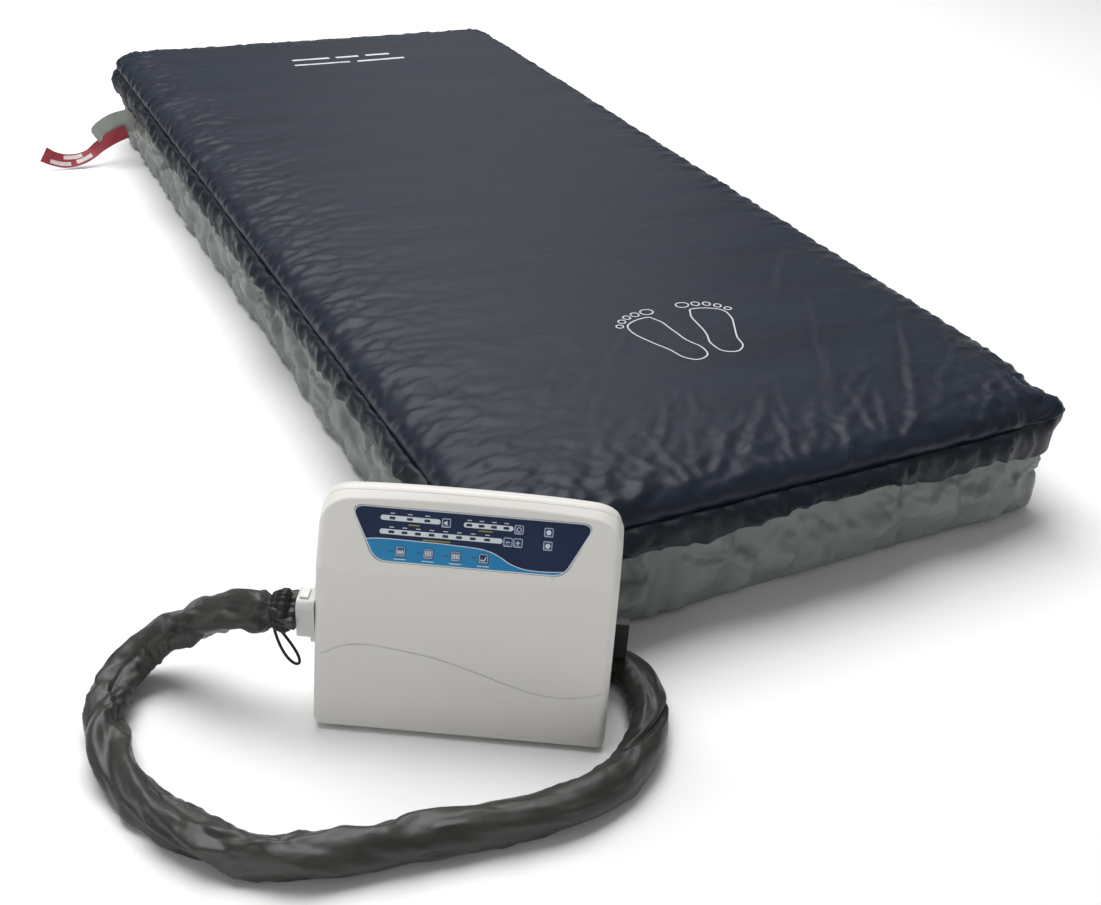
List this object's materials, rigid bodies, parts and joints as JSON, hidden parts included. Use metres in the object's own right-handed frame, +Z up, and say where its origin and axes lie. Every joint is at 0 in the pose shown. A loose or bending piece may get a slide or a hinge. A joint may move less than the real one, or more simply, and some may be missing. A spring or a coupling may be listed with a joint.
{
  "type": "pressure relief mattress",
  "caption": "Alternating air-cell mattress in a zipped wipe-clean cover, with a floor-standing control unit at its foot and a sleeved hose set joining them.",
  "frame": {"origin": "centre of the mattress's underside, on the surface it lies on", "axes": "+X across the mattress to the right seen from its foot, +Y along it towards the head, +Z up; the control unit stands at the foot end, on the -X side"},
  "size_m": [1.3902, 2.3171, 0.277],
  "materials": {
    "cover_navy": "satin",
    "cover_grey": "satin",
    "cell_fabric": "satin",
    "sleeve_fabric": "satin",
    "air_hose": "satin",
    "shell_plastic": "satin",
    "light_grey_plastic": "satin",
    "overlay": "gloss",
    "key": "satin",
    "board": "satin",
    "metal": "satin",
    "zip_metal": "satin",
    "rubber": "matte",
    "filter_foam": "matte",
    "zip_tape": "matte",
    "black_plastic": "satin"
  },
  "bodies": {
    "mattress": {"base_cover": "cover_grey", "top_cover": "cover_navy", "zip_chain": "zip_tape", "zip_flap": "cover_navy", "air_cell_01": "cell_fabric", "air_cell_02": "cell_fabric", "air_cell_03": "cell_fabric", "air_cell_04": "cell_fabric", "air_cell_05": "cell_fabric", "air_cell_06": "cell_fabric", "air_cell_07": "cell_fabric", "air_cell_08": "cell_fabric", "air_cell_09": "cell_fabric", "air_cell_10": "cell_fabric", "air_cell_11": "cell_fabric", "air_cell_12": "cell_fabric", "air_cell_13": "cell_fabric", "air_cell_14": "cell_fabric", "air_cell_15": "cell_fabric", "air_cell_16": "cell_fabric", "cell_base_sheet": "cover_grey", "air_line_a": "air_hose", "air_line_b": "air_hose", "cpr_valve_body": "light_grey_plastic", "hose_inlet": "black_plastic", "control_overlay": "overlay", "control_board": "board", "front_housing": "shell_plastic", "rear_housing": "shell_plastic", "foot_left_front": "rubber", "foot_left_rear": "rubber", "foot_right_front": "rubber", "foot_right_rear": "rubber", "mains_inlet": "black_plastic", "air_filter": "filter_foam", "compressor": "metal", "valve_motor": "light_grey_plastic", "hose_port": "light_grey_plastic", "hose_plug": "light_grey_plastic", "hose_sleeve": "sleeve_fabric", "air_hose_a": "air_hose", "air_hose_b": "air_hose"},
    "zip_pull_slider": {"zip_slider": "zip_metal"},
    "cpr_pull": {"cpr_valve_plug": "black_plastic", "cpr_pull_strap": "cover_grey"},
    "hook_left": {"bed_hook_left": "black_plastic"},
    "hook_right": {"bed_hook_right": "black_plastic"},
    "rocker": {"power_switch": "black_plastic"},
    "filter_door": {"filter_cover": "shell_plastic"},
    "latch_button": {"plug_latch": "shell_plastic"},
    "key_mute": {"key_mute": "key"},
    "key_timer": {"key_timer": "key"},
    "key_minus": {"key_minus": "key"},
    "key_plus": {"key_plus": "key"},
    "key_panel_lock": {"key_panel_lock": "key"},
    "key_alarm_reset": {"key_alarm_reset": "key"},
    "key_mode_alternate": {"key_mode_alternate": "key"},
    "key_mode_pulsate": {"key_mode_pulsate": "key"},
    "key_mode_static": {"key_mode_static": "key"},
    "key_mode_seat": {"key_mode_seat": "key"}
  },
  "joints": [
    {"name": "zip_slide", "type": "slide", "parent": "mattress", "child": "zip_pull_slider", "axis": [0, 1, 0], "range_m": [0, 1.86]},
    {"name": "cpr_plug_pull", "type": "slide", "parent": "mattress", "child": "cpr_pull", "axis": [-1, 0, 0], "range_m": [0, 0.01]},
    {"name": "hook_left_swing", "type": "hinge", "parent": "mattress", "child": "hook_left", "pos_m": [-0.59356, -0.94136, 0.0725], "axis": [0, 0, 1], "range_deg": [0, 170]},
    {"name": "hook_right_swing", "type": "hinge", "parent": "mattress", "child": "hook_right", "pos_m": [-0.36288, -1.07778, 0.0725], "axis": [0, 0, 1], "range_deg": [0, 180]},
    {"name": "power_rocker", "type": "hinge", "parent": "mattress", "child": "rocker", "pos_m": [-0.50104, -1.00886, 0.052], "axis": [0.8607, -0.509, 0], "range_deg": [-9, 9]},
    {"name": "filter_cover_pull", "type": "slide", "parent": "mattress", "child": "filter_door", "axis": [0.509, 0.8607, 0], "range_m": [0, 0.012]},
    {"name": "plug_latch_press", "type": "slide", "parent": "mattress", "child": "latch_button", "axis": [0, 0, -1], "range_m": [0, 0.0025], "stiffness_N_per_m": 800},
    {"name": "key_mute_press", "type": "slide", "parent": "mattress", "child": "key_mute", "axis": [0.4365, 0.7381, -0.5145], "range_m": [0, 0.0004], "stiffness_N_per_m": 3000},
    {"name": "key_timer_press", "type": "slide", "parent": "mattress", "child": "key_timer", "axis": [0.4365, 0.7381, -0.5145], "range_m": [0, 0.0004], "stiffness_N_per_m": 3000},
    {"name": "key_minus_press", "type": "slide", "parent": "mattress", "child": "key_minus", "axis": [0.4365, 0.7381, -0.5145], "range_m": [0, 0.0004], "stiffness_N_per_m": 3000},
    {"name": "key_plus_press", "type": "slide", "parent": "mattress", "child": "key_plus", "axis": [0.4365, 0.7381, -0.5145], "range_m": [0, 0.0004], "stiffness_N_per_m": 3000},
    {"name": "key_panel_lock_press", "type": "slide", "parent": "mattress", "child": "key_panel_lock", "axis": [0.4365, 0.7381, -0.5145], "range_m": [0, 0.0004], "stiffness_N_per_m": 3000},
    {"name": "key_alarm_reset_press", "type": "slide", "parent": "mattress", "child": "key_alarm_reset", "axis": [0.4365, 0.7381, -0.5145], "range_m": [0, 0.0004], "stiffness_N_per_m": 3000},
    {"name": "key_mode_alternate_press", "type": "slide", "parent": "mattress", "child": "key_mode_alternate", "axis": [0.4365, 0.7381, -0.5145], "range_m": [0, 0.0004], "stiffness_N_per_m": 3000},
    {"name": "key_mode_pulsate_press", "type": "slide", "parent": "mattress", "child": "key_mode_pulsate", "axis": [0.4365, 0.7381, -0.5145], "range_m": [0, 0.0004], "stiffness_N_per_m": 3000},
    {"name": "key_mode_static_press", "type": "slide", "parent": "mattress", "child": "key_mode_static", "axis": [0.4365, 0.7381, -0.5145], "range_m": [0, 0.0004], "stiffness_N_per_m": 3000},
    {"name": "key_mode_seat_press", "type": "slide", "parent": "mattress", "child": "key_mode_seat", "axis": [0.4365, 0.7381, -0.5145], "range_m": [0, 0.0004], "stiffness_N_per_m": 3000}
  ]
}
